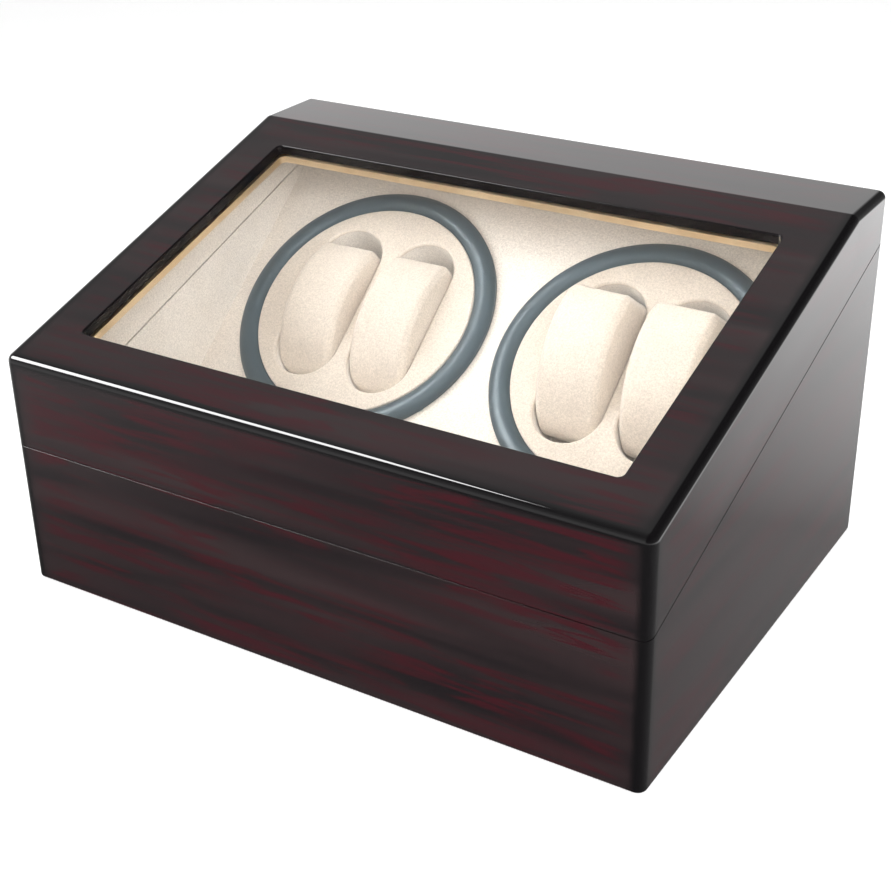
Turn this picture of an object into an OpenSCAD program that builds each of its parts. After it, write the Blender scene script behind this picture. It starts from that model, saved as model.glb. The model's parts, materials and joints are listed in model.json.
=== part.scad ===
// Watch winder box: a lacquered case with a windowed, back-hinged lid. Two motor-driven
// turntables stand on a raked deck, with two cushions each, behind a row of six storage
// slots. Origin: centre of the footprint on the surface it stands on.
// X runs to the right, -Y to the front, +Z up. Millimetres.

/* [Box] */
// Overall width, side to side
box_w = 335; // [333:0.5:345]
// Overall depth, front face to back face
box_d = 250; // [249:0.5:256]
// Height at the back, under the level strip of the lid
box_h = 184; // [182:0.5:188]
// Height at the front, where the sloping top begins
front_h = 122; // [120:0.5:124]
// Depth of the level strip along the back of the lid
flat_d = 41.6; // [40:0.2:43]
// Height of the lid joint at the front face
seam_front_h = 75.3; // [74:0.1:76]
// Height of the lid joint at the back face
seam_back_h = 159.4; // [159:0.1:161]
// Gap between the case rim and the lid rim
seam_gap = 0.5; // [0.3:0.1:0.8]
// Board thickness of the four walls
wall_t = 7; // [6.5:0.1:7]
// Board thickness of the lid's top
lid_t = 8; // [7.8:0.1:8.5]
// Radius of the four upright corners
corner_r = 4.5; // [4.5:0.5:10]
// Radius along the lid's top edges
edge_r = 4; // [2:0.5:5]

/* [Window] */
// Width of the window opening
win_w = 282; // [270:1:284]
// Front edge of the opening, measured up the slope from the front edge
win_v0 = 26.5; // [24:0.5:30]
// Rear edge of the opening, measured up the slope
win_v1 = 193; // [188:0.5:195]
// Corner radius of the opening
win_r = 3; // [2:0.5:5]
// Thickness of the pane
pane_t = 2; // [1.5:0.1:2.4]
// Depth of the pane's top face below the lid surface
pane_depth = 5; // [4.5:0.1:5.2]

/* [Interior] */
// Thickness of the velvet lining panels
lining_t = 1.2; // [1:0.1:1.5]
// Thickness of the felt sheet under the box
felt_t = 0.8; // [0.5:0.1:1.2]
// Thickness of the base board
base_t = 6; // [5:0.5:7]
// Thickness of the storage tray's floor
tray_t = 3; // [2:0.5:4]
// Top edge of the slot dividers above the ground
divider_top = 50; // [46:1:54]
// Thickness of one divider
divider_t = 3; // [2:0.2:3.2]
// Number of storage slots in the front row
slots = 6; // [6]

/* [Deck] */
// Rake of the turntable deck
deck_a = 38.44; // [38:0.02:38.8]
// Height of the deck's top face at mid depth
deck_z0 = 64.35; // [64:0.05:64.8]
// Front end of the deck
deck_y0 = -22; // [-24:0.5:-21]
// Board thickness of the deck
deck_t = 5; // [4:0.5:6]
// Radius of the holes for the turntables
deck_hole_r = 62.8; // [62.7:0.1:63]

/* [Turntables] */
// Distance of each turntable centre from the middle
table_x = 77.5; // [77.2:0.1:78.5]
// Distance of the centres up the deck from mid depth
table_a = 56.3; // [56:0.1:57]
// Outer radius of the bezel ring
ring_ro = 72.5; // [72:0.1:73.5]
// Inner radius of the bezel ring
ring_ri = 61.3; // [60.5:0.1:61.5]
// Height of the bezel ring above the deck
ring_top = 6; // [5.5:0.1:6.5]
// Height of the velvet disc above the deck
disc_top = 4; // [3.6:0.1:4.4]
// Width of a cushion pocket
pocket_w = 37; // [36:0.5:38]
// Length of a cushion pocket
pocket_l = 90; // [88:0.5:92]
// Distance of a pocket's centre line from the turntable axis
pocket_x = 22.5; // [22:0.1:23]
// Depth of the pocket floor below the deck face
pocket_depth = 30; // [28:0.5:31]

/* [Cushions] */
// Radius of a turntable cushion's crown, seen from its side
cushion_r = 50; // [48:0.5:52]
// Length of a turntable cushion
cushion_l = 65; // [63:0.2:65.4]
// Height of the crown above a turntable cushion's ends
cushion_crown = 12; // [11:0.2:12.4]
// Width of a turntable cushion
cushion_w = 35.2; // [34:0.2:35.6]
// How far the left turntable's cushions lean out of their pockets
lean_left = 3.4; // [0:0.2:5]
// How far the right turntable's cushions lean out of their pockets
lean_right = 17.8; // [0:0.2:18]
// Radius of a storage cushion's crown, seen from its side
store_r = 43.5; // [42:0.5:44]
// Height of a storage cushion
store_h = 48.2; // [46:0.2:50]
// Width of a storage cushion
store_w = 46; // [42:0.5:47]

/* [Drive] */
// Gear module
gear_m = 1; // [1]
// Teeth on the output gear
gear_n = 60; // [60]
// Teeth on the reduction pinion
pinion_n = 12; // [12]
// Distance between the belt's two pulley axes
belt_c = 38; // [37:0.5:39]
// Radius of the large pulley's groove
big_groove_r = 14; // [13:0.5:14.5]
// Radius of the small pulley's groove
small_groove_r = 2.6; // [2.4:0.1:3]
// Radius of the turntable shaft
shaft_r = 3; // [2.5:0.1:3.2]

/* [Hinges] */
// Distance of each hinge's centre from the middle
hinge_x = 95; // [85:1:110]
// Length of a hinge
hinge_l = 40; // [36:1:44]
// Radius of the knuckles
knuckle_r = 2.6; // [2.4:0.1:2.8]
// Radius of the hinge pin
pin_r = 1.2; // [1:0.1:1.4]

/* [Controls] */
// Width of the recess in the back wall
recess_w = 86; // [84:1:88]
// Height of the recess in the back wall
recess_h = 30; // [29:1:32]
// Height of the controls above the ground
control_z = 34; // [33:0.5:36]

/* [Hidden] */
$fn = 96;

// Clearances: between fixed neighbours, and inside a running fit
snug = 0.1;
run = 0.05;

// Box outline
front_y = -box_d / 2;
back_y = box_d / 2;
ridge_y = back_y - flat_d;
slope_a = atan((box_h - front_h) / (ridge_y - front_y));
seam_a = atan((seam_back_h - seam_front_h) / box_d);
in_w = box_w - 2 * wall_t;
in_front = front_y + wall_t;
in_back = back_y - wall_t;
lined_x = in_w / 2 - lining_t;
base_top = felt_t + base_t;
tray_top = base_top + tray_t;
riser_t = 4;
bay_back = deck_y0 - riser_t;
bay_mid = (in_front + lining_t + bay_back) / 2;

// Window parts, measured down from the lid's outer face
win_l = win_v1 - win_v0;
win_mid = (win_v0 + win_v1) / 2;
rebate = 5;
trim_t = 1;
trim_bottom = lid_t + 2.6;

// Heights on the deck normal, zero at the deck's top face
flange_bottom = 0.6;
flange_top = 2;
pocket_wall = 2;
carrier_bottom = -pocket_depth - 2.5;
hub_r = 7;
hub_neck_r = 5.5;
hub_bottom = -48.4;
gear_top = -35;
gear_t = 5;
plate_top = -50;
plate_t = 3;
plate_bottom = plate_top - plate_t;
bush_flange_t = 1.5;
bush_bottom = -60;
belt_n = -44.5;
belt_h = 2;
belt_t = 1.4;
groove_h = 2.8;
pulley_cheek = 1.2;
arbor_r = 1.5;
motor_shaft_r = 1.25;
gearhead_w = 24;
gearhead_t = 7;
motor_bottom = -76;
motor_r = 11.5;

// Drive layout, seen along the deck normal
idler_a = -(gear_n + pinion_n) * gear_m / 2;
post_x = 54;
post_a = 44;
post_r = 3.5;
screw_r = 1.5;

// Hinge axis
axis_y = back_y + knuckle_r + 0.2;
axis_z = seam_back_h;
leaf_t = 1.2;
leaf_gap = 0.3;
leaf_screw_x = 12;
leaf_screw_z = 12;

// Controls, left to right on the recess plate
plate_y = in_back - 2.1;
plate_face_t = 2;
board_y = 100;
board_t = 1.6;
rocker_x = -31;
knob_x = 9;
jack_x = 31;
rocker_rest = -7;

LACQUER = [0.14, 0.11, 0.12];
VELVET = [0.93, 0.87, 0.80];
CUSHION = [0.96, 0.91, 0.84];
GUNMETAL = [0.36, 0.41, 0.46];
GOLD = [0.80, 0.62, 0.32];
STEEL = [0.72, 0.73, 0.75];
BRASS = [0.78, 0.62, 0.30];
BLACK = [0.08, 0.08, 0.09];
BOARD = [0.62, 0.48, 0.33];

function slope_z(y) = front_h + (y - front_y) * tan(slope_a);
function seam_z(y) = seam_front_h + (y - front_y) * tan(seam_a);
function deck_z(y) = deck_z0 + y * tan(deck_a);
// Underside of the sloping top, d below its outer face
function under_z(y, d) = slope_z(y) - d / cos(slope_a);
// Where the sloping and the level undersides meet, d below the outer faces
function ridge_under_y(d) = front_y + (box_h - d - front_h + d / cos(slope_a)) / tan(slope_a);

// ---- Helpers ----

// Draws a side view, given as (Y, Z), and makes it w wide about the middle
module along_x(w) {
    rotate([90, 0, 90]) translate([0, 0, -w / 2]) linear_extrude(w) children();
}

// Places children on the deck's top face: X across, Y up the rake, Z off the deck
module on_deck() {
    translate([0, 0, deck_z0]) rotate([deck_a, 0, 0]) children();
}

// Places children on a turntable's axis, side is -1 for left and 1 for right
module on_table(side) {
    on_deck() translate([side * table_x, table_a, 0]) children();
}

// Places children on the lid's sloping face: Y up the slope, Z outwards
module on_slope() {
    translate([0, front_y, front_h]) rotate([slope_a, 0, 0]) children();
}

module rounded_rect(w, d, r) {
    square([w - 2 * r, d], center = true);
    square([w, d - 2 * r], center = true);
    for (sx = [-1, 1], sy = [-1, 1])
        translate([sx * (w / 2 - r), sy * (d / 2 - r)]) circle(r);
}

module obround(w, l) {
    square([w, l - w], center = true);
    for (s = [-1, 1]) translate([0, s * (l - w) / 2]) circle(d = w);
}

module rod(r, z0, z1) {
    translate([0, 0, z0]) cylinder(r = r, h = z1 - z0);
}

// Rounds one corner of a side view: p is the corner, a and b unit vectors along its edges
module corner_cut(p, a, b, r) {
    half = acos(a * b) / 2;
    bis = (a + b) / norm(a + b);
    difference() {
        polygon([p - bis, p + a * r / tan(half), p + b * r / tan(half)]);
        translate(p + bis * r / sin(half)) circle(r);
    }
}

// A prism under a face, w wide, with its two long top edges rounded
module crowned_prism(w, r, y0, y1, depth) {
    rotate([90, 0, 0]) translate([0, 0, -y1]) linear_extrude(y1 - y0) {
        translate([-w / 2, -depth]) square([w, depth - r]);
        translate([-w / 2 + r, -depth]) square([w - 2 * r, depth]);
        for (s = [-1, 1]) translate([s * (w / 2 - r), -r]) circle(r);
    }
}

// ---- Case ----

module outer_block(z0, z1) {
    translate([0, 0, z0]) linear_extrude(z1 - z0) rounded_rect(box_w, box_d, corner_r);
}

module hinge_screw_places(dz) {
    for (s = [-1, 1], t = [-1, 1])
        translate([s * hinge_x + t * leaf_screw_x, back_y + leaf_t, axis_z + dz])
            rotate([-90, 0, 0]) children();
}

module case_walls() {
    color(LACQUER) difference() {
        intersection() {
            outer_block(felt_t, box_h);
            along_x(box_w + 2) polygon([
                [front_y - 2, 0], [back_y + 2, 0],
                [back_y + 2, seam_z(back_y + 2) - seam_gap / 2],
                [front_y - 2, seam_z(front_y - 2) - seam_gap / 2]
            ]);
        }
        translate([-in_w / 2, in_front, -1]) cube([in_w, in_back - in_front, box_h]);
        translate([-recess_w / 2, in_back - 1, control_z - recess_h / 2])
            cube([recess_w, wall_t + 2, recess_h]);
        hinge_screw_places(-leaf_screw_z) rod(screw_r + run, -leaf_t - 6, 1);
    }
}

module base_board() {
    color(BOARD) translate([-in_w / 2 + snug, in_front + snug, felt_t])
        cube([in_w - 2 * snug, in_back - in_front - 2 * snug, base_t]);
}

module base_felt() {
    color(BLACK) linear_extrude(felt_t) rounded_rect(box_w - 6, box_d - 6, corner_r - 3);
}

module lining_front() {
    color(VELVET) along_x(2 * lined_x - 2 * snug) polygon([
        [in_front + snug / 2, tray_top + snug], [in_front + lining_t, tray_top + snug],
        [in_front + lining_t, seam_z(in_front + lining_t) - seam_gap],
        [in_front + snug / 2, seam_z(in_front) - seam_gap]
    ]);
}

module lining_sides() {
    top = 113.5;
    color(VELVET) for (s = [-1, 1])
        translate([s * (lined_x + lining_t / 2 - snug / 4), 0, 0])
            along_x(lining_t - snug / 2) polygon([
                [in_front + snug, tray_top + snug], [bay_back - snug, tray_top + snug],
                [bay_back - snug, deck_z(deck_y0) + snug], [deck_y0, deck_z(deck_y0) + snug],
                [top, deck_z(top) + snug], [top, seam_z(top) - seam_gap],
                [in_front + snug, seam_z(in_front) - seam_gap]
            ]);
}

module lining_back() {
    y0 = in_back - lining_t;
    color(VELVET) along_x(2 * lined_x) polygon([
        [y0, deck_z(y0) - 22], [in_back - snug / 2, deck_z(y0) - 22],
        [in_back - snug / 2, seam_z(y0) - seam_gap], [y0, seam_z(y0) - seam_gap]
    ]);
}

module storage_tray() {
    color(VELVET) along_x(in_w - 2 * snug) polygon([
        [in_front + snug, base_top], [deck_y0, base_top], [deck_y0, deck_z(deck_y0)],
        [bay_back, deck_z(deck_y0)], [bay_back, tray_top], [in_front + snug, tray_top]
    ]);
}

module storage_dividers() {
    pitch = 2 * lined_x / slots;
    y0 = in_front + lining_t + snug;
    color(VELVET) for (i = [1 : slots - 1])
        translate([-lined_x + i * pitch - divider_t / 2, y0, tray_top])
            cube([divider_t, bay_back - snug - y0, divider_top - tray_top]);
}

// ---- Deck and drive ----

module winder_deck() {
    end_y = in_back - lining_t - snug;
    drop = deck_t / cos(deck_a);
    // The deck's top face stops where it would pass the lid joint
    lip = seam_gap + 0.1;
    lip_y = (seam_z(0) - lip - deck_z0) / (tan(deck_a) - tan(seam_a));
    color(VELVET) difference() {
        along_x(in_w - 2 * snug) polygon([
            [deck_y0 + snug, deck_z(deck_y0 + snug)], [lip_y, deck_z(lip_y)],
            [end_y, seam_z(end_y) - lip], [end_y, deck_z(end_y) - drop],
            [deck_y0 + snug, deck_z(deck_y0 + snug) - drop]
        ]);
        for (s = [-1, 1]) on_table(s) {
            rod(deck_hole_r, -deck_t - 1, 1);
            post_places() {
                rod(screw_r + run, -deck_t - 1, 1);
                screw_cone(run);
            }
        }
    }
}

// Countersunk head of a deck screw, grown by g
module screw_cone(g) {
    translate([0, 0, -1.5]) cylinder(r1 = screw_r + g, r2 = 3 + g, h = 1.5);
}

module post_places() {
    for (x = [-1, 1], a = [-1, 1]) translate([x * post_x, a * post_a, 0]) children();
}

module deck_battens() {
    color(BOARD) for (s = [-1, 1]) on_deck()
        translate([s * (in_w / 2 - snug - 5) - 5, -8, -deck_t - 10]) cube([10, 140, 10 - snug]);
}

module standoffs() {
    color(STEEL) for (s = [-1, 1]) on_table(s) post_places() difference() {
        rod(post_r, plate_top, -deck_t);
        rod(screw_r + run, plate_top - 1, plate_top + 12);
        rod(screw_r + run, -deck_t - 12, -deck_t + 1);
    }
}

module deck_screws() {
    color(STEEL) for (s = [-1, 1]) on_table(s) post_places() {
        rod(screw_r, -deck_t - 10, -1);
        screw_cone(0);
    }
}

module plate_screws() {
    color(STEEL) for (s = [-1, 1]) on_table(s) post_places() {
        rod(screw_r, plate_bottom - 0.5, plate_top + 10);
        rod(2.8, plate_bottom - 1.8, plate_bottom);
    }
}

module drive_plates() {
    color(STEEL) for (s = [-1, 1]) on_table(s) difference() {
        translate([0, -3, plate_bottom]) linear_extrude(plate_t)
            rounded_rect(2 * post_x + 12, 2 * post_a + 14, 6);
        post_places() rod(screw_r + run, plate_bottom - 1, plate_top + 1);
        rod(hub_neck_r + run, plate_bottom - 1, plate_top + 1);
        translate([0, idler_a, 0]) rod(arbor_r + run, plate_bottom - 1, plate_top + 1);
        translate([s * belt_c, idler_a, 0]) rod(4, plate_bottom - 1, plate_top + 1);
    }
}

module shaft_bushes() {
    color(BRASS) for (s = [-1, 1]) on_table(s) difference() {
        union() {
            rod(hub_neck_r, bush_bottom, plate_top + bush_flange_t);
            rod(8, plate_top, plate_top + bush_flange_t);
        }
        rod(shaft_r + run, bush_bottom - 1, plate_top + bush_flange_t + 1);
    }
}

module gear_arbors() {
    color(STEEL) for (s = [-1, 1]) on_table(s) translate([0, idler_a, 0]) {
        rod(arbor_r, plate_bottom - 0.5, gear_top + 1);
        rod(3, plate_bottom - 1, plate_bottom);
    }
}

module gear_motors() {
    color(STEEL) for (s = [-1, 1]) on_table(s) translate([s * belt_c, idler_a, 0])
        difference() {
            union() {
                translate([0, 0, plate_bottom - gearhead_t]) linear_extrude(gearhead_t)
                    rounded_rect(gearhead_w, gearhead_w, 3);
                rod(motor_r, motor_bottom, plate_bottom - gearhead_t);
                rod(4, motor_bottom - 1.5, motor_bottom);
            }
            rod(motor_shaft_r + run, plate_bottom - 6, plate_bottom + 1);
        }
}

function arc_points(x, r, a0, a1, n) =
    [for (i = [0 : n]) let (a = a0 + (a1 - a0) * i / n) [x + r * cos(a), r * sin(a)]];

// Outline of a belt run round two wheels, r1 at the origin and r2 at distance c along X
module belt_outline(r1, r2, c) {
    touch = 90 - asin((r1 - r2) / c);
    polygon(concat(
        arc_points(0, r1, touch, 360 - touch, 36), arc_points(c, r2, -touch, touch, 24)
    ));
}

module drive_belts() {
    inner = [big_groove_r + run, small_groove_r + run];
    color(BLACK) for (s = [-1, 1]) on_table(s)
        translate([0, idler_a, belt_n - belt_h / 2]) rotate([0, 0, s > 0 ? 0 : 180])
            linear_extrude(belt_h) difference() {
                belt_outline(inner[0] + belt_t, inner[1] + belt_t, belt_c);
                belt_outline(inner[0], inner[1], belt_c);
            }
}

// Spur gear outline with straight-flanked teeth, a tooth centred on angle "turn"
module gear_outline(n, turn) {
    rp = n * gear_m / 2;
    root = rp - 1.2 * gear_m;
    tip = rp + 0.85 * gear_m;
    // Half angles of a tooth at its root, pitch and tip circles
    lash = 0.08;
    half = 90 / n - lash / rp * 180 / PI;
    wide = half + 0.42 * gear_m / rp * 180 / PI;
    thin = half - 0.36 * gear_m / rp * 180 / PI;
    polygon([for (i = [0 : n - 1], p = [[root, -wide], [rp, -half], [tip, -thin],
                                        [tip, thin], [rp, half], [root, wide]])
        let (a = turn + i * 360 / n + p[1]) [p[0] * cos(a), p[0] * sin(a)]]);
}

module output_gear(side) {
    color(BRASS) on_table(side) translate([0, 0, gear_top - gear_t]) linear_extrude(gear_t)
        difference() {
            gear_outline(gear_n, 0);
            circle(hub_r);
            for (i = [0 : 5]) rotate(i * 60 + 30) translate([18, 0]) circle(6);
        }
}

module reduction_wheel(side) {
    cheek_top = belt_n + groove_h / 2 + pulley_cheek;
    cheek_bottom = belt_n - groove_h / 2 - pulley_cheek;
    color([0.93, 0.92, 0.88]) on_table(side) translate([0, idler_a, 0]) difference() {
        union() {
            translate([0, 0, cheek_top - 1]) linear_extrude(gear_top + 0.4 - cheek_top + 1)
                gear_outline(pinion_n, 90 + 180 / pinion_n);
            rod(big_groove_r + 2, cheek_top - pulley_cheek, cheek_top);
            rod(big_groove_r, cheek_bottom, cheek_top);
            rod(big_groove_r + 2, cheek_bottom, cheek_bottom + pulley_cheek);
            rod(arbor_r + 2, plate_top + 0.5, cheek_top);
        }
        rod(arbor_r + run, plate_top, gear_top + 2);
    }
}

module motor_pulley(side) {
    top = belt_n + groove_h / 2 + pulley_cheek;
    bottom = belt_n - groove_h / 2 - pulley_cheek;
    color(BRASS) on_table(side) translate([side * belt_c, idler_a, 0]) {
        rod(motor_shaft_r, plate_bottom - 5.5, top + 0.8);
        rod(small_groove_r, bottom, top);
        rod(small_groove_r + 2, top - pulley_cheek, top);
        rod(small_groove_r + 2, bottom, bottom + pulley_cheek);
    }
}

// ---- Turntables ----

module pocket_places() {
    for (s = [-1, 1]) translate([s * pocket_x, 0]) children();
}

module carrier(side) {
    color(VELVET) on_table(side) difference() {
        union() {
            rod(deck_hole_r - 0.4, flange_bottom, flange_top);
            translate([0, 0, carrier_bottom]) linear_extrude(flange_top - carrier_bottom) {
                pocket_places() obround(pocket_w + 2 * pocket_wall, pocket_l + 2 * pocket_wall);
                square([2 * pocket_wall + 6, pocket_l - pocket_w], center = true);
            }
            rod(hub_r, gear_top - gear_t, carrier_bottom + 1);
            rod(hub_neck_r, hub_bottom, carrier_bottom);
        }
        translate([0, 0, -pocket_depth]) linear_extrude(pocket_depth + flange_top + 1)
            pocket_places() obround(pocket_w, pocket_l);
        rod(shaft_r, hub_bottom - 1, -36);
    }
}

module velvet_disc(side) {
    color(VELVET) on_table(side) translate([0, 0, flange_top])
        linear_extrude(disc_top - flange_top) difference() {
            circle(ring_ri - snug);
            pocket_places() obround(pocket_w, pocket_l);
        }
}

module bezel_ring(side) {
    w = ring_ro - ring_ri;
    crown = 3.2;
    r = (w * w / 4 + crown * crown) / (2 * crown);
    color(GUNMETAL) on_table(side) rotate_extrude() difference() {
        intersection() {
            translate([ring_ri, flange_bottom]) square([w, ring_top]);
            translate([ring_ri + w / 2, ring_top - r]) circle(r);
        }
        translate([ring_ri - 1, 0]) square([deck_hole_r + run - ring_ri + 1, flange_top]);
    }
}

module spin_shaft(side) {
    color(STEEL) on_table(side) {
        rod(shaft_r, bush_bottom - 2.5, -36);
        rod(shaft_r + 2, bush_bottom - 1.3, bush_bottom - 0.4);
    }
}

// ---- Cushions ----

// Side view of a turntable cushion that leans on the lower rim of its pocket
module leaning_side(lean) {
    end_h = cushion_r - cushion_crown;
    translate([-cushion_l / 2, disc_top]) rotate(lean) translate([cushion_l / 2, -end_h])
        intersection() {
            circle(cushion_r);
            translate([-cushion_l / 2, -cushion_r]) square([cushion_l, 2 * cushion_r]);
        }
}

module table_cushion(side, seat) {
    foot = -pocket_depth + 0.3;
    rest = disc_top + 0.3;
    color(CUSHION) on_table(side) translate([seat * pocket_x, 0, 0]) intersection() {
        along_x(cushion_w) leaning_side(side < 0 ? lean_left : lean_right);
        union() {
            translate([0, 0, foot]) linear_extrude(rest - foot)
                obround(pocket_w - 0.6, pocket_l - 0.6);
            translate([0, 0, rest]) linear_extrude(100)
                square([cushion_w + 2, 2 * cushion_l], center = true);
        }
    }
}

module store_cushion(i) {
    pitch = 2 * lined_x / slots;
    color(CUSHION) translate([-lined_x + (i - 0.5) * pitch, bay_mid, tray_top + 0.3])
        along_x(store_w) intersection() {
            translate([0, store_h - store_r]) circle(store_r);
            translate([-store_r, 0]) square([2 * store_r, store_h]);
        }
}

// ---- Lid ----

module lid_shell() {
    slope = [cos(slope_a), sin(slope_a)];
    low = seam_gap / 2;
    color(LACQUER) difference() {
        intersection() {
            outer_block(0, box_h);
            along_x(box_w + 2) difference() {
                polygon([
                    [front_y, seam_z(front_y) + low], [back_y, seam_z(back_y) + low],
                    [back_y, box_h], [ridge_y, box_h], [front_y, front_h]
                ]);
                corner_cut([front_y, front_h], [0, -1], slope, edge_r);
                corner_cut([back_y, box_h], [0, -1], [-1, 0], edge_r);
                corner_cut([ridge_y, box_h], -slope, [1, 0], edge_r);
            }
            on_slope() crowned_prism(box_w, edge_r, -80, 330, 260);
            translate([0, 0, box_h]) crowned_prism(box_w, edge_r, -150, 150, 200);
        }
        along_x(in_w) polygon([
            [in_front, 0], [in_back, 0], [in_back, box_h - lid_t],
            [ridge_under_y(lid_t), box_h - lid_t], [in_front, under_z(in_front, lid_t)]
        ]);
        on_slope() translate([0, win_mid, 0]) {
            translate([0, 0, -lid_t - 1]) linear_extrude(lid_t + 2)
                rounded_rect(win_w, win_l, win_r);
            translate([0, 0, -lid_t - 1]) linear_extrude(lid_t + 1 - pane_depth)
                rounded_rect(win_w + 2 * rebate, win_l + 2 * rebate, win_r);
        }
        hinge_screw_places(leaf_screw_z) rod(screw_r + run, -leaf_t - 6, 1);
    }
}

module window_pane() {
    grow = 2 * rebate - 4 * snug;
    color([0.85, 0.90, 0.92, 0.3]) on_slope()
        translate([0, win_mid, -pane_depth - pane_t]) linear_extrude(pane_t)
            rounded_rect(win_w + grow, win_l + grow, win_r);
}

module window_trim() {
    grow = 2 * rebate - 4 * snug;
    color(GOLD) on_slope() translate([0, win_mid, -trim_bottom])
        linear_extrude(trim_bottom - pane_depth - pane_t) difference() {
            rounded_rect(win_w + grow, win_l + grow, win_r);
            rounded_rect(win_w - 2 * trim_t, win_l - 2 * trim_t, win_r);
        }
}

module lid_lining_top() {
    top = lid_t + snug / 2;
    d = lid_t + lining_t;
    y0 = in_front + snug;
    y1 = in_back - snug;
    hole = 2 * rebate + 2 * snug;
    color(VELVET) difference() {
        along_x(in_w - 2 * snug) polygon([
            [y0, under_z(y0, top)], [ridge_under_y(top), box_h - top],
            [y1, box_h - top], [y1, box_h - d], [ridge_under_y(d), box_h - d],
            [y0, under_z(y0, d)]
        ]);
        on_slope() translate([0, win_mid, -20]) linear_extrude(20)
            rounded_rect(win_w + hole, win_l + hole, win_r);
    }
}

module lid_lining_walls() {
    d = lid_t + lining_t + snug;
    y0 = in_front + snug / 2;
    y1 = in_back - snug / 2;
    yf = y0 + lining_t;
    yb = y1 - lining_t;
    color(VELVET) {
        for (s = [-1, 1]) translate([s * (lined_x + lining_t / 2 - snug / 4), 0, 0])
            along_x(lining_t - snug / 2) polygon([
                [y0, seam_z(y0) + seam_gap], [y1, seam_z(y1) + seam_gap], [y1, box_h - d],
                [ridge_under_y(d), box_h - d], [y0, under_z(y0, d)]
            ]);
        along_x(2 * lined_x - 2 * snug) polygon([
            [y0, seam_z(yf) + seam_gap], [yf, seam_z(yf) + seam_gap],
            [yf, under_z(y0, d)], [y0, under_z(y0, d)]
        ]);
        along_x(2 * lined_x - 2 * snug) polygon([
            [yb, seam_z(y1) + seam_gap], [y1, seam_z(y1) + seam_gap],
            [y1, box_h - d], [yb, box_h - d]
        ]);
    }
}

// ---- Hinges ----

module on_hinges() {
    for (s = [-1, 1]) translate([s * hinge_x, axis_y, axis_z]) rotate([0, 90, 0])
        translate([0, 0, -hinge_l / 2]) children();
}

// Spans of the knuckles along the axis: one middle knuckle on the lid, two on the case
mid_span = 14;
outer_span = (hinge_l - mid_span) / 2 - leaf_gap;

module leaf_plate(z0, z1) {
    for (s = [-1, 1]) translate([s * hinge_x - hinge_l / 2, back_y, axis_z + z0])
        cube([hinge_l, leaf_t, z1 - z0]);
}

module leaf_sink(dz) {
    hinge_screw_places(dz) {
        rod(screw_r + run, -leaf_t - 1, 1);
        translate([0, 0, -leaf_t]) cylinder(r1 = screw_r + run, r2 = 2.7, h = leaf_t);
    }
}

module hinge_leaves_case() {
    color(BRASS) difference() {
        union() {
            difference() {
                leaf_plate(-20, -0.5);
                on_hinges() rod(knuckle_r + leaf_gap, outer_span, hinge_l - outer_span);
            }
            on_hinges() {
                rod(knuckle_r, 0, outer_span);
                rod(knuckle_r, hinge_l - outer_span, hinge_l);
            }
        }
        on_hinges() rod(pin_r + run, -1, hinge_l + 1);
        leaf_sink(-leaf_screw_z);
    }
}

module hinge_leaves_lid() {
    span0 = (hinge_l - mid_span) / 2;
    color(BRASS) difference() {
        union() {
            difference() {
                leaf_plate(0.5, 19);
                on_hinges() {
                    rod(knuckle_r + leaf_gap, -1, span0);
                    rod(knuckle_r + leaf_gap, hinge_l - span0, hinge_l + 1);
                }
            }
            on_hinges() rod(knuckle_r, span0, hinge_l - span0);
        }
        on_hinges() rod(pin_r + run, -1, hinge_l + 1);
        leaf_sink(leaf_screw_z);
    }
}

module hinge_pins() {
    color(STEEL) on_hinges() {
        rod(pin_r, -0.2, hinge_l + 0.2);
        rod(pin_r + 0.7, -1, -0.2);
        rod(pin_r + 0.7, hinge_l + 0.2, hinge_l + 1);
    }
}

module leaf_screws(dz) {
    color(BRASS) hinge_screw_places(dz) {
        rod(screw_r, -leaf_t - 5.5, 0);
        translate([0, 0, -leaf_t]) cylinder(r1 = screw_r, r2 = 2.6, h = leaf_t - 0.05);
    }
}

// ---- Controls in the back wall ----

// Places children at x on the recess plate, with Z pointing out of the back
module on_controls(x) {
    translate([x, plate_y, control_z]) rotate([-90, 0, 0]) children();
}

module control_plate() {
    color(BLACK) difference() {
        on_controls(0) linear_extrude(plate_face_t) rounded_rect(96, 42, 3);
        on_controls(rocker_x) translate([-6.6, -10.1, -1]) cube([13.2, 20.2, 5]);
        for (s = [-1, 1]) on_controls(s * knob_x) rod(3.3, -1, 4);
        on_controls(jack_x) rod(4.1, -1, 4);
    }
}

module control_board() {
    chips = [[-18, 8, 9, 6], [2, -10, 7, 5], [22, 9, 12, 8]];
    color([0.10, 0.32, 0.20]) {
        translate([-44, board_y, control_z - 20]) cube([88, board_t, 40]);
        for (c = chips) translate([c[0] - c[2] / 2, board_y - 2, control_z + c[1] - c[3] / 2])
            cube([c[2], 2.5, c[3]]);
        for (x = [-36, 12]) translate([x, board_y + 0.5, control_z - 8]) rotate([90, 0, 0])
            cylinder(r = 4, h = 9);
    }
}

module dc_jack() {
    behind = plate_y - board_y - board_t;
    color(BLACK) on_controls(jack_x) difference() {
        union() {
            translate([-7, -5.5, -behind]) cube([14, 11, behind - snug]);
            rod(4, -1, plate_face_t);
        }
        difference() {
            rod(2.75, -8, plate_face_t + 1);
            rod(1, -9, plate_face_t - 1);
        }
    }
}

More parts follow.
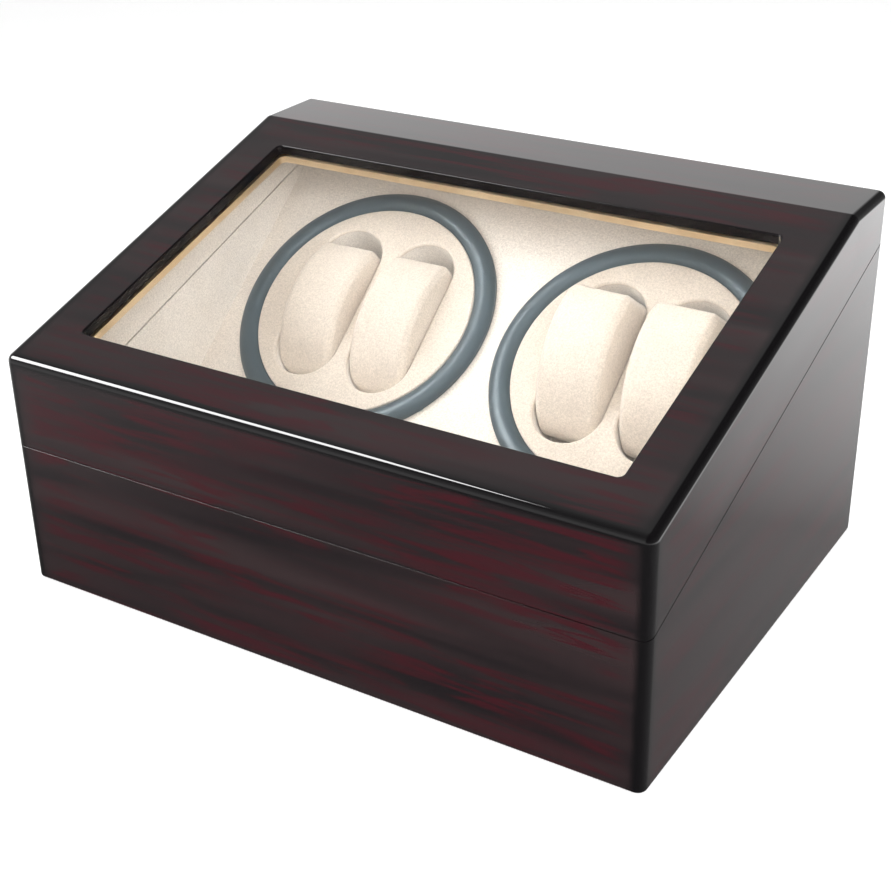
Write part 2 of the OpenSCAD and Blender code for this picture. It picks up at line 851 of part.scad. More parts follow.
module switch_bodies() {
    behind = plate_y - board_y - board_t;
    color([0.16, 0.16, 0.17]) {
        for (s = [-1, 1]) on_controls(s * knob_x) difference() {
            translate([-6.5, -6.5, -behind]) cube([13, 13, behind - snug]);
            rod(3 + run, -8, 1);
        }
        on_controls(rocker_x) difference() {
            union() {
                translate([-6.5, -10, -behind]) cube([13, 20, behind + plate_face_t]);
                translate([-7.5, -11, plate_face_t]) cube([15, 22, 1.2]);
            }
            translate([-5.5, -8.9, -5]) cube([11, 17.8, 10]);
            rotate([0, 90, 0]) rod(1.2 + run, -6.4, 6.4);
        }
    }
}

module power_rocker() {
    color([0.55, 0.05, 0.05]) on_controls(rocker_x) rotate([rocker_rest, 0, 0]) {
        rotate([90, 0, 90]) translate([0, 0, -5.2]) linear_extrude(10.4)
            polygon([[-5, -3], [-7.6, 3.8], [0, 2.6], [7.6, 3.8], [5, -3]]);
        rotate([0, 90, 0]) rod(1.2, -6.2, 6.2);
    }
}

module mode_knob(side) {
    color([0.12, 0.12, 0.13]) on_controls(side * knob_x) {
        rod(3, -7, plate_face_t + 1);
        difference() {
            rod(6.5, plate_face_t + 0.4, plate_face_t + 7);
            for (i = [0 : 17]) rotate(i * 20 + 10) translate([6.9, 0])
                rod(0.7, plate_face_t + 1.4, plate_face_t + 8);
        }
        translate([-0.6, 1, plate_face_t + 6.5]) cube([1.2, 4.8, 1]);
    }
}

// Radius of a motor's lead, and its route on one side: motor tail, floor, circuit board
lead_r = 1.1;
lead_route = [[112, 70, 17], [106, 78, 11], [70, 90, 8.6], [46, 95, 10], [40, 97, 17], [40, 98.8, 19]];

// One straight run of lead between two points, with a round end
module lead_run(p, q) {
    d = q - p;
    translate(p) rotate([0, acos(d[2] / norm(d)), atan2(d[1], d[0])])
        cylinder(r = lead_r, h = norm(d), $fn = 24);
    translate(q) sphere(lead_r, $fn = 24);
}
module motor_leads() {
    color([0.65, 0.08, 0.08]) for (s = [-1, 1]) {
        pts = [for (p = lead_route) [s * p[0], p[1], p[2]]];
        for (i = [0 : len(pts) - 2]) lead_run(pts[i], pts[i + 1]);
    }
}

// ---- Output ----

case_walls();
base_board();
base_felt();
lining_front();
lining_sides();
lining_back();
storage_tray();
storage_dividers();
winder_deck();
deck_battens();
drive_plates();
standoffs();
deck_screws();
plate_screws();
shaft_bushes();
gear_arbors();
gear_motors();
drive_belts();
control_plate();
control_board();
dc_jack();
switch_bodies();
motor_leads();
hinge_leaves_case();
hinge_pins();
leaf_screws(-leaf_screw_z);  // hinge_screws_case
lid_shell();
window_pane();
window_trim();
lid_lining_top();
lid_lining_walls();
hinge_leaves_lid();
leaf_screws(leaf_screw_z);  // hinge_screws_lid
carrier(-1);  // carrier_left
velvet_disc(-1);  // disc_left
bezel_ring(-1);  // bezel_ring_left
spin_shaft(-1);  // spin_shaft_left
output_gear(-1);  // output_gear_left
carrier(1);  // carrier_right
velvet_disc(1);  // disc_right
bezel_ring(1);  // bezel_ring_right
spin_shaft(1);  // spin_shaft_right
output_gear(1);  // output_gear_right
reduction_wheel(-1);  // reduction_wheel_left
reduction_wheel(1);  // reduction_wheel_right
motor_pulley(-1);  // motor_pulley_left
motor_pulley(1);  // motor_pulley_right
table_cushion(-1, -1);  // cushion_left_a
table_cushion(-1, 1);  // cushion_left_b
table_cushion(1, -1);  // cushion_right_a
table_cushion(1, 1);  // cushion_right_b
store_cushion(1);  // store_cushion_1
store_cushion(2);  // store_cushion_2
store_cushion(3);  // store_cushion_3
store_cushion(4);  // store_cushion_4
store_cushion(5);  // store_cushion_5
store_cushion(6);  // store_cushion_6
power_rocker();
mode_knob(-1);  // mode_knob_left
mode_knob(1);  // mode_knob_right
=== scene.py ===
import json
import math

import bmesh
import bpy
from mathutils import Matrix, Vector


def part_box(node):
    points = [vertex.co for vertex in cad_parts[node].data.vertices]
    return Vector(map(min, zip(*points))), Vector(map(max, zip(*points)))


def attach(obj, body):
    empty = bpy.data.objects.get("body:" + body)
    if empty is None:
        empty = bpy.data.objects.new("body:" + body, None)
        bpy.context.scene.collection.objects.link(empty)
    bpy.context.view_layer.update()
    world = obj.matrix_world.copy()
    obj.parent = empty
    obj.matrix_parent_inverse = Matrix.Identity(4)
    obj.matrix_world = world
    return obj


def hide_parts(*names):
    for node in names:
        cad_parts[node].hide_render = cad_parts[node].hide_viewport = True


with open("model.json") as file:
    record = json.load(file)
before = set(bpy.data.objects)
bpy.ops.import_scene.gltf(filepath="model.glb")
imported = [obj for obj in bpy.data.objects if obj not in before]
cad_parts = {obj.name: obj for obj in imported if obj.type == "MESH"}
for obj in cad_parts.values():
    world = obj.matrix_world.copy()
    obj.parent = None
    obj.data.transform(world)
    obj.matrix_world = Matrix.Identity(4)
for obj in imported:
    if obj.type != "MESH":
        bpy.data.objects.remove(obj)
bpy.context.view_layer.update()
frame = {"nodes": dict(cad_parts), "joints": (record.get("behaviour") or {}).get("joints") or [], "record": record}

MM = 0.001
SCENE = bpy.context.scene
NODES = frame["nodes"]
JOINTS = {j["name"]: j for j in frame["joints"]}

# ---------------------------------------------------------------- sizes read from the frame

CASE_LOW, CASE_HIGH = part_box("case_walls")
HALF_W = CASE_HIGH.x
FRONT_Y, BACK_Y = CASE_LOW.y, CASE_HIGH.y
TOP_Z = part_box("lid_shell")[1].z

# The box outline, as part.scad drives it
FRONT_H = 122 * MM  # top of the front face
FLAT_D = 41.6 * MM  # depth of the level strip at the back of the lid
WALL = 7 * MM
LID_T = 8 * MM
CORNER_R = 4.5 * MM  # upright corners
EDGE_R = 4 * MM  # round the lid's top
SEAM_FRONT = 75.3 * MM  # height of the lid joint at the front
SEAM_BACK = 159.4 * MM
SEAM_GAP = 0.5 * MM
WIN_V0, WIN_V1 = 26.5 * MM, 193 * MM  # the window's ends, measured up the slope
WIN_HALF = 141 * MM
WIN_R = 3 * MM
PANE_DEPTH = 5 * MM  # from the slope down to the pane
REBATE = 5 * MM  # width of the step that the pane sits in

RIDGE_Y = BACK_Y - FLAT_D
SLOPE = math.atan((TOP_Z - FRONT_H) / (RIDGE_Y - FRONT_Y))
SEAM = math.atan((SEAM_BACK - SEAM_FRONT) / (BACK_Y - FRONT_Y))

# The deck's axes: x across, a up the rake, n off the deck
SPIN = JOINTS["turntable_left_spin"]
DECK_N = Vector(SPIN["axis"]).normalized()
DECK_A = Vector((0, DECK_N.z, -DECK_N.y))
TABLES = {s: Vector(JOINTS[f"turntable_{s}_spin"]["pos_m"]) for s in ("left", "right")}


def slope_z(y):
    return FRONT_H + (y - FRONT_Y) * math.tan(SLOPE)


def seam_z(y):
    return SEAM_FRONT + (y - FRONT_Y) * math.tan(SEAM)


def table_matrix(side):
    """Turntable frame: X across, Y up the rake, Z off the deck, origin on the deck at the axis."""
    x = Vector((1, 0, 0))
    m = Matrix((x, DECK_A, DECK_N)).transposed().to_4x4()
    return Matrix.Translation(TABLES[side]) @ m


# ---------------------------------------------------------------- camera

# Place in metres, lens and sensor in millimetres
CAMERA_PLACE = Vector((0.377236, -0.603924, 0.435329))
CAMERA_AZIMUTH = math.radians(32.149)
CAMERA_ELEVATION = math.radians(27.71)
CAMERA_ROLL = math.radians(-1.058)
CAMERA_LENS = 65.64
CAMERA_SENSOR = 36


def make_camera():
    back = Vector((
        math.sin(CAMERA_AZIMUTH) * math.cos(CAMERA_ELEVATION),
        -math.cos(CAMERA_AZIMUTH) * math.cos(CAMERA_ELEVATION),
        math.sin(CAMERA_ELEVATION),
    ))
    right = (-back).cross(Vector((0, 0, 1))).normalized()
    up = right.cross(-back)
    c, s = math.cos(CAMERA_ROLL), math.sin(CAMERA_ROLL)
    right, up = right * c + up * s, up * c - right * s
    data = bpy.data.cameras.new("camera")
    data.lens = CAMERA_LENS
    data.sensor_width = CAMERA_SENSOR
    data.clip_start = 0.01
    cam = bpy.data.objects.new("camera", data)
    turn = Matrix((right, up, back)).transposed().to_4x4()
    cam.matrix_world = Matrix.Translation(CAMERA_PLACE) @ turn
    SCENE.collection.objects.link(cam)
    SCENE.camera = cam


make_camera()

# ---------------------------------------------------------------- node helpers


# Noise values seldom leave this range, so tones and roughness vary between its two ends
NOISE_LOW, NOISE_HIGH = 0.3, 0.7


class Mat:
    """A material's node tree, with short calls to add nodes and join them."""

    def __init__(self, name):
        self.mat = bpy.data.materials.new(name)
        self.mat.use_nodes = True
        self.tree = self.mat.node_tree
        self.tree.nodes.clear()
        self.out = self.add("ShaderNodeOutputMaterial")
        self.bsdf = self.add("ShaderNodeBsdfPrincipled")
        self.link(self.bsdf.outputs[0], self.out.inputs["Surface"])

    def add(self, kind, **settings):
        node = self.tree.nodes.new(kind)
        for key, value in settings.items():
            setattr(node, key, value)
        return node

    def link(self, source, target):
        self.tree.links.new(source, target)

    def set(self, **values):
        for key, value in values.items():
            socket = self.bsdf.inputs[key.replace("_", " ")]
            socket.default_value = (*value, 1.0) if isinstance(value, tuple) else value

    def coords(self, scale=1, shift=(0, 0, 0), turn=(0, 0, 0)):
        """Object coordinates in metres, times scale, so that scale is in cells per metre."""
        if not isinstance(scale, tuple):
            scale = (scale,) * 3
        tc = self.add("ShaderNodeTexCoord")
        mp = self.add("ShaderNodeMapping")
        mp.inputs["Location"].default_value = shift
        mp.inputs["Rotation"].default_value = turn
        mp.inputs["Scale"].default_value = scale
        self.link(tc.outputs["Object"], mp.inputs["Vector"])
        return mp.outputs["Vector"]

    def noise(self, vector, detail=2.0, rough=0.5, distort=0.0):
        n = self.add("ShaderNodeTexNoise")
        n.inputs["Scale"].default_value = 1.0
        n.inputs["Detail"].default_value = detail
        n.inputs["Roughness"].default_value = rough
        n.inputs["Distortion"].default_value = distort
        self.link(vector, n.inputs["Vector"])
        return n.outputs["Fac"]

    def ramp(self, fac, stops, ease="LINEAR"):
        """Colour by fac. A stop is a place and a colour, or one number for a grey."""
        r = self.add("ShaderNodeValToRGB")
        r.color_ramp.interpolation = ease
        points = r.color_ramp.elements
        while len(points) < len(stops):
            points.new(0.5)
        for point, (at, colour) in zip(points, stops):
            point.position = at
            value = (colour,) * 3 if isinstance(colour, (int, float)) else colour
            point.color = (*value, 1.0)
        self.link(fac, r.inputs["Fac"])
        return r.outputs["Color"]

    def math(self, op, a, b=None, c=None):
        n = self.add("ShaderNodeMath", operation=op)
        for socket, value in zip(n.inputs, (a, b, c)):
            if value is None:
                continue
            if isinstance(value, (int, float)):
                socket.default_value = value
            else:
                self.link(value, socket)
        return n.outputs[0]

    def mix(self, fac, a, b, blend="MIX"):
        n = self.add("ShaderNodeMix", data_type="RGBA", blend_type=blend)
        sockets = (n.inputs[0], n.inputs[6], n.inputs[7])
        for socket, value in zip(sockets, (fac, a, b)):
            if isinstance(value, (int, float)):
                socket.default_value = value
            elif isinstance(value, tuple):
                socket.default_value = (*value, 1.0)
            else:
                self.link(value, socket)
        return n.outputs[2]

    def colour(self, socket):
        self.link(socket, self.bsdf.inputs["Base Color"])

    def tone(self, fac, dark, light):
        """Base colour between two tones that lie close together."""
        self.colour(self.ramp(fac, [(NOISE_LOW, dark), (NOISE_HIGH, light)]))

    def rough(self, fac, low, high):
        socket = self.ramp(fac, [(NOISE_LOW, low), (NOISE_HIGH, high)])
        self.link(socket, self.bsdf.inputs["Roughness"])

    def bump(self, height, strength, distance):
        """Relief in the shading. distance is in metres."""
        b = self.add("ShaderNodeBump")
        b.inputs["Strength"].default_value = strength
        b.inputs["Distance"].default_value = distance
        self.link(height, b.inputs["Height"])
        self.link(b.outputs["Normal"], self.bsdf.inputs["Normal"])


# ---------------------------------------------------------------- materials

LACQUER_BLACK = (0.011, 0.0085, 0.0095)
LACQUER_BROWN = (0.030, 0.019, 0.020)
# Black where the print ends at the corners, and painted dark reflection along the rounded top edges
LACQUER_EDGE = (0.004, 0.0035, 0.004)
LACQUER_CRIMSON = (0.044, 0.0060, 0.010)
# Where the print starts to show and is whole, in mm from a rounded corner or edge. Along the rounded top edges the
# black is painted reflection, standing in for the dark surroundings that those roundings mirror.
PRINT_FROM_ENDS = (3.5, 8)
PAINTED_REFLECTION_FROM_BROW = (3, 5.5)
CRIMSON_FROM_ENDS = (5, 18)


def lacquer(name, along):
    """Dark lacquer over a streaked print. along is the axis that the streaks follow."""
    m = Mat(name)

    def grain(across, length, shift, **look):
        """Noise drawn out along the streaks. across and length are in cells per metre."""
        scale = [across] * 3
        scale["XYZ".index(along)] = length
        return m.noise(m.coords(tuple(scale), shift=shift), **look)

    fine = grain(230, 12, (0, 0, 0), detail=2.5, distort=0.7)
    band = grain(60, 5, (5.3, 0.9, 2.6), distort=0.4)
    patch = grain(48, 9, (3.1, 1.7, 4.3), distort=0.3)
    cloud = m.noise(m.coords(9, shift=(7.7, 2.2, 0.4)))
    ground = m.ramp(band, [(0.32, LACQUER_BLACK), (0.70, LACQUER_BROWN)])
    streak = m.ramp(fine, [(0.47, 0.0), (0.56, 1.0), (0.68, 0.0)], "EASE")
    share = m.ramp(patch, [(0.34, 0.10), (0.56, 0.9)], "EASE")
    crimson = m.math("MULTIPLY", streak, share)
    # The print fades to black towards the rounded corners. Towards the rounded top edges the black is painted
    # reflection, for the dark surroundings that those roundings mirror.
    split = m.add("ShaderNodeSeparateXYZ")
    m.link(m.coords(), split.inputs[0])
    x, y, z = split.outputs

    def clear_of(distance, limits):
        """0 nearer than the first limit, 1 beyond the second."""
        ease = m.add("ShaderNodeMapRange", interpolation_type="SMOOTHSTEP")
        ease.inputs["From Min"].default_value = limits[0] * MM
        ease.inputs["From Max"].default_value = limits[1] * MM
        m.link(distance, ease.inputs["Value"])
        return ease.outputs[0]

    out, half = (x, HALF_W) if along == "X" else (y, BACK_Y)
    ends = m.math("SUBTRACT", half, m.math("ABSOLUTE", out))
    forward = m.math("SUBTRACT", y, FRONT_Y)
    if along == "X":
        # Distance from the front's upper edge
        rise = m.math("SUBTRACT", z, FRONT_H)
        squares = m.math("ADD", m.math("MULTIPLY", forward, forward),
                         m.math("MULTIPLY", rise, rise))
        brow = m.math("SQRT", squares)
    else:
        # Depth below the side's upper edge
        top = m.math("MULTIPLY_ADD", forward, math.tan(SLOPE), FRONT_H)
        brow = m.math("SUBTRACT", m.math("MINIMUM", top, TOP_Z), z)
    # Share of print: it ends at the corners, and at the top edges it gives way to painted reflection
    print_and_painted_reflection = m.math("MULTIPLY", clear_of(ends, PRINT_FROM_ENDS), clear_of(brow, PAINTED_REFLECTION_FROM_BROW))
    crimson = m.math("MULTIPLY", crimson, clear_of(ends, CRIMSON_FROM_ENDS))
    wood = m.mix(crimson, ground, LACQUER_CRIMSON)
    m.colour(m.mix(print_and_painted_reflection, LACQUER_EDGE, wood))
    m.rough(cloud, 0.035, 0.06)
    m.set(IOR=1.47, Specular_IOR_Level=0.5, Coat_Weight=0.35, Coat_Roughness=0.02, Coat_IOR=1.5)
    return m.mat


def plain_black(name, rough, specular):
    """Black without the print, for the window opening, and for the rims in the lid joint, where a dull, barely
    reflective black is painted shade.
    """
    m = Mat(name)
    cloud = m.noise(m.coords(60))
    m.tone(cloud, (0.006, 0.005, 0.005), (0.010, 0.008, 0.009))
    m.rough(cloud, rough * 0.8, rough * 1.2)
    m.set(IOR=1.4, Specular_IOR_Level=specular)
    return m.mat


def velvet(name, dark, light, sheen, nap=1.0):
    """Short-pile velvet: nap bump, soft cloudy shading and a sheen at grazing angles."""
    m = Mat(name)
    cloud = m.noise(m.coords(22), detail=3.0, rough=0.6)
    grain = m.noise(m.coords(1150), rough=0.7)
    tuft = m.noise(m.coords(420, shift=(2, 5, 1)), rough=0.6)
    base = m.ramp(cloud, [(0.32, dark), (0.68, light)])
    speck = m.ramp(grain, [(0.32, 0.80), (0.68, 1.10)])
    m.colour(m.mix(1.0, base, speck, "MULTIPLY"))
    height = m.math("ADD", m.math("MULTIPLY", grain, 0.5), m.math("MULTIPLY", tuft, 0.8))
    m.bump(height, 0.6 * nap, 0.0005)
    m.rough(tuft, 0.86, 0.97)
    m.set(Sheen_Weight=sheen, Sheen_Roughness=0.45, Specular_IOR_Level=0.25)
    m.set(Sheen_Tint=(1.0, 0.97, 0.93))
    return m.mat


def gunmetal(name):
    """Satin slate enamel over metal, with a faint orange peel."""
    m = Mat(name)
    cloud = m.noise(m.coords(30))
    peel = m.noise(m.coords(900), detail=1.0)
    m.tone(cloud, (0.048, 0.070, 0.082), (0.060, 0.084, 0.097))
    m.rough(cloud, 0.38, 0.46)
    m.bump(peel, 0.05, 0.0001)
    m.set(Metallic=0.15, Specular_IOR_Level=0.4)
    return m.mat


def metal(name, dark, light, rough):
    """Plated metal with a cloudy tone and fine brushing."""
    m = Mat(name)
    cloud = m.noise(m.coords(40), detail=3.0, rough=0.6)
    brushing = m.noise(m.coords((400, 2600, 400)))
    m.tone(cloud, dark, light)
    m.rough(cloud, rough * 0.85, rough * 1.2)
    m.bump(brushing, 0.05, 0.00005)
    m.set(Metallic=1.0)
    return m.mat


def plastic(name, dark, light, rough, grain_scale=1400, grain_depth=0.08):
    """Moulded plastic or rubber with a fine grained surface."""
    m = Mat(name)
    cloud = m.noise(m.coords(35))
    grain = m.noise(m.coords(grain_scale))
    m.tone(cloud, dark, light)
    m.rough(cloud, rough * 0.9, rough * 1.1)
    m.bump(grain, grain_depth, 0.0001)
    m.set(Specular_IOR_Level=0.5)
    return m.mat


def fibreboard(name):
    """Raw pressed board with visible chips."""
    m = Mat(name)
    chips = m.noise(m.coords(700), detail=4.0, rough=0.7)
    cloud = m.noise(m.coords(30), detail=3.0)
    base = m.ramp(chips, [(NOISE_LOW, (0.30, 0.20, 0.11)), (NOISE_HIGH, (0.50, 0.36, 0.22))])
    shade = m.ramp(cloud, [(NOISE_LOW, 0.85), (NOISE_HIGH, 1.05)])
    m.colour(m.mix(1.0, base, shade, "MULTIPLY"))
    m.bump(chips, 0.3, 0.0002)
    m.set(Roughness=0.85)
    return m.mat


def felt(name):
    m = Mat(name)
    fibre = m.noise(m.coords(1100), detail=4.0, rough=0.8)
    m.tone(fibre, (0.008, 0.008, 0.009), (0.030, 0.030, 0.032))
    m.bump(fibre, 0.6, 0.0004)
    m.set(Roughness=0.95, Sheen_Weight=0.3, Sheen_Roughness=0.6)
    return m.mat


def circuit(name):
    """Green solder mask with lighter tracks between the pads."""
    m = Mat(name)
    tracks = m.add("ShaderNodeTexBrick")
    m.link(m.coords(260, turn=(math.pi / 2, 0, 0)), tracks.inputs["Vector"])
    tracks.inputs["Color1"].default_value = (0.010, 0.120, 0.055, 1)
    tracks.inputs["Color2"].default_value = (0.008, 0.100, 0.045, 1)
    tracks.inputs["Mortar"].default_value = (0.030, 0.200, 0.090, 1)
    m.colour(tracks.outputs["Color"])
    m.set(Roughness=0.35)
    return m.mat


def clear_pane(name):
    """Clear sheet that lamps shine through, so that what lies behind it is lit."""
    m = Mat(name)
    m.set(Base_Color=(0.985, 0.992, 0.99), Roughness=0.0, IOR=1.45, Transmission_Weight=1.0)
    path = m.add("ShaderNodeLightPath")
    clear = m.add("ShaderNodeBsdfTransparent")
    mix = m.add("ShaderNodeMixShader")
    m.link(path.outputs["Is Shadow Ray"], mix.inputs[0])
    m.link(m.bsdf.outputs[0], mix.inputs[1])
    m.link(clear.outputs[0], mix.inputs[2])
    m.link(mix.outputs[0], m.out.inputs["Surface"])
    return m.mat


def paper_floor(name):
    """White paper, lit a little from within, so that it meets the white surround."""
    m = Mat(name)
    m.tone(m.noise(m.coords(3)), (0.86, 0.86, 0.86), (0.88, 0.88, 0.88))
    m.set(Roughness=0.9, Specular_IOR_Level=0.1)
    m.set(Emission_Color=(1.0, 1.0, 1.0), Emission_Strength=0.6)
    return m.mat


# One cream velvet in three brightnesses, set by how each piece is lit. The lining is painted lighter (painted
# light), the discs and cushions are painted darker (painted shade), and the deck lies between. Within each dark
# and light pair the tone varies at random.
LIT_LINING_DARK = (0.88, 0.81, 0.73)
LIT_LINING_LIGHT = (0.94, 0.88, 0.81)
DECK_DARK = (0.83, 0.75, 0.67)
DECK_LIGHT = (0.89, 0.82, 0.74)
SHADED_PAD_DARK = (0.66, 0.575, 0.49)
SHADED_PAD_LIGHT = (0.73, 0.645, 0.555)

LACQUER_X = lacquer("lacquer_across", "X")
LACQUER_Y = lacquer("lacquer_deep", "Y")
LACQUER_PLAIN = plain_black("lacquer_plain", 0.13, 0.35)
# Rims in the lid joint: dull, barely reflective black, painted shade so that the joint reads dark
JOINT_RIM_SHADE = plain_black("joint_rim_painted_shade", 0.7, 0.08)
# The lining's velvet is painted lighter as painted light. The discs' and cushions' velvet is painted darker as
# painted shade.
VELVET = velvet("cream_velvet_painted_lighter", LIT_LINING_DARK, LIT_LINING_LIGHT, 0.35)
DECK_VELVET = velvet("deck_velvet", DECK_DARK, DECK_LIGHT, 0.2)
DISC_VELVET = velvet("disc_velvet_painted_darker", SHADED_PAD_DARK, SHADED_PAD_LIGHT, 0.35)
PAD_VELVET = velvet("cushion_velvet", SHADED_PAD_DARK, SHADED_PAD_LIGHT, 0.5, nap=0.8)
RING = gunmetal("gunmetal")
GOLD = metal("gold", (0.80, 0.62, 0.40), (0.92, 0.76, 0.54), 0.36)
BRASS = metal("brass", (0.60, 0.42, 0.16), (0.72, 0.53, 0.24), 0.24)
STEEL = metal("zinc_steel", (0.42, 0.43, 0.45), (0.58, 0.59, 0.60), 0.30)
BLACK_PLASTIC = plastic("black_plastic", (0.012, 0.012, 0.013), (0.022, 0.022, 0.023), 0.42)
RED_PLASTIC = plastic("red_plastic", (0.32, 0.012, 0.010), (0.40, 0.018, 0.014), 0.22,
                      grain_depth=0.02)
ACETAL = plastic("acetal", (0.70, 0.69, 0.64), (0.78, 0.77, 0.72), 0.38)
RUBBER = plastic("belt_rubber", (0.012, 0.012, 0.012), (0.020, 0.020, 0.020), 0.6, 700, 0.2)
LEAD_RUBBER = plastic("lead_rubber", (0.30, 0.012, 0.010), (0.36, 0.018, 0.014), 0.4)
RAW_BOARD = fibreboard("raw_board")
FELT = felt("black_felt")
CIRCUIT = circuit("circuit_board")
PANE = clear_pane("clear_pane")
FLOOR = paper_floor("floor")

SLOT_MATERIALS = {
    "lacquer": LACQUER_X,
    "raw_board": RAW_BOARD,
    "felt": FELT,
    "velvet_lining": VELVET,
    "velvet_board": DECK_VELVET,
    "flocked_plastic": VELVET,
    "cushion_velvet": PAD_VELVET,
    "gunmetal": RING,
    "clear_pane": PANE,
    "gold_trim": GOLD,
    "steel": STEEL,
    "brass": BRASS,
    "gear_plastic": ACETAL,
    "belt_rubber": RUBBER,
    "black_plastic": BLACK_PLASTIC,
    "red_plastic": RED_PLASTIC,
    "circuit_board": CIRCUIT,
    "lead_rubber": LEAD_RUBBER,
}


def dress_frame():
    """Gives every CAD node the material of its slot in the record."""
    for part in frame["record"]["subparts"]:
        obj = NODES[part["node"]]
        obj.data.materials.clear()
        obj.data.materials.append(SLOT_MATERIALS[part["material_slot"]])


dress_frame()

# ---------------------------------------------------------------- mesh helpers

SHARP_ANGLE = math.radians(50)  # edges that turn further are shaded as sharp
SIDE_FACING = 0.72  # sideways part of the normal from which a face belongs to a side


def arc(start, end, steps):
    """Angles in radians from start to end degrees, both included."""
    return [math.radians(start + (end - start) * i / steps) for i in range(steps + 1)]


def between(a, b, t):
    """Unit direction a share t of the way from a to b along the great circle."""
    angle = a.angle(b)
    return (a * math.sin((1 - t) * angle) + b * math.sin(t * angle)) / math.sin(angle)


def loop_edges(bm, verts):
    """The edges round a closed loop, made where they are missing."""
    edges = []
    for a, b in zip(verts, verts[1:] + verts[:1]):
        edges.append(bm.edges.get((a, b)) or bm.edges.new((a, b)))
    return edges


def add_loop(bm, points):
    return [bm.verts.new(p) for p in points]


def bridge(bm, low, high, skip=()):
    """Quads between two loops of equal length. skip holds the steps that are left open."""
    count = len(low)
    faces = []
    for i in range(count):
        if i in skip:
            continue
        j = (i + 1) % count
        faces.append(bm.faces.new((low[i], low[j], high[j], high[i])))
    return faces


def fill(bm, loops, normal):
    """Flat faces inside the first loop and outside the others."""
    edges = []
    for verts in loops:
        edges += loop_edges(bm, verts)
    made = bmesh.ops.triangle_fill(bm, use_beauty=True, edges=edges, normal=normal)["geom"]
    return [item for item in made if isinstance(item, bmesh.types.BMFace)]


def rounded_rect(x0, x1, y0, y1, radius, steps=6):
    """Points round a rectangle with rounded corners. steps is the number of steps a corner."""
    points = []
    corners = [(x1, y0, -90), (x1, y1, 0), (x0, y1, 90), (x0, y0, 180)]
    for cx, cy, turn in corners:
        ox = cx - radius if cx == x1 else cx + radius
        oy = cy - radius if cy == y1 else cy + radius
        for t in arc(turn, turn + 90, steps):
            points.append((ox + radius * math.cos(t), oy + radius * math.sin(t)))
    return points


def piece(name, bm, materials, body, replaced):
    """Makes an object of bm that rides on body and stands for the CAD node replaced."""
    bmesh.ops.recalc_face_normals(bm, faces=bm.faces)
    mesh = bpy.data.meshes.new(name)
    bm.to_mesh(mesh)
    bm.free()
    for material in materials:
        mesh.materials.append(material)
    for polygon in mesh.polygons:
        polygon.use_smooth = True
    mesh.set_sharp_from_angle(angle=SHARP_ANGLE)
    obj = bpy.data.objects.new(name, mesh)
    SCENE.collection.objects.link(obj)
    even = obj.modifiers.new("even shading", "WEIGHTED_NORMAL")
    even.keep_sharp = True
    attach(obj, body)
    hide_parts(replaced)


def side_grain(bm):
    """Gives the faces of the two sides the second material, whose streaks run front to back."""
    for face in bm.faces:
        face.normal_update()
        if abs(face.normal.x) > SIDE_FACING:
            face.material_index = 1


# ---------------------------------------------------------------- the lacquered shells

SLOPE_N = Vector((0, -math.sin(SLOPE), math.cos(SLOPE)))
UP = Vector((0, 0, 1))
IN_X = HALF_W - WALL
IN_FRONT, IN_BACK = FRONT_Y + WALL, BACK_Y - WALL
CORNER_STEPS = 10
FILLET_STEPS = 8
RIDGE_STEPS = 4
RIM_STEPS = 3
BRIM_STEPS = 4
RIM_R = 0.12 * MM  # at the lid joint
FOOT_R = 1.2 * MM  # round the foot of the case
BRIM_R = 0.9 * MM  # round the window's opening
PLATE_GAP = 0.1 * MM  # round the control plate in its recess
RECESS_R = 0.8 * MM
RECESS_LIP = 0.6 * MM


def outline(with_ridge):
    """Stations round the box, counter-clockwise from the right front corner.

    Each is the centre of the edge's rounding, the direction out of the wall and the
    direction out of the top. The lid has extra stations at the ridge of each side."""
    small = CORNER_R - EDGE_R
    ridge_y = RIDGE_Y + EDGE_R * math.tan(SLOPE / 2)
    mid = HALF_W - CORNER_R
    stations = []

    def corner(sx, sy, start):
        top = SLOPE_N if sy < 0 else UP
        cy = (BACK_Y - CORNER_R) * sy
        for t in arc(start, start + 90, CORNER_STEPS):
            w = Vector((math.cos(t), math.sin(t), 0))
            stations.append((Vector((sx * mid, cy, 0)) + w * small, w, top))

    def fan(sx, first, last):
        w = Vector((sx, 0, 0))
        for i in range(RIDGE_STEPS + 1):
            stations.append((Vector((sx * (HALF_W - EDGE_R), ridge_y, 0)), w,
                             between(first, last, i / RIDGE_STEPS)))

    corner(1, -1, -90)
    if with_ridge:
        fan(1, SLOPE_N, UP)
    corner(1, 1, 0)
    corner(-1, 1, 90)
    if with_ridge:
        fan(-1, UP, SLOPE_N)
    corner(-1, -1, 180)
    return stations


def on_slope(x, v, h):
    """Point at x across, v up the lid's slope from the front edge and h off it."""
    c, s = math.cos(SLOPE), math.sin(SLOPE)
    return Vector((x, FRONT_Y + v * c - h * s, FRONT_H + v * s + h * c))


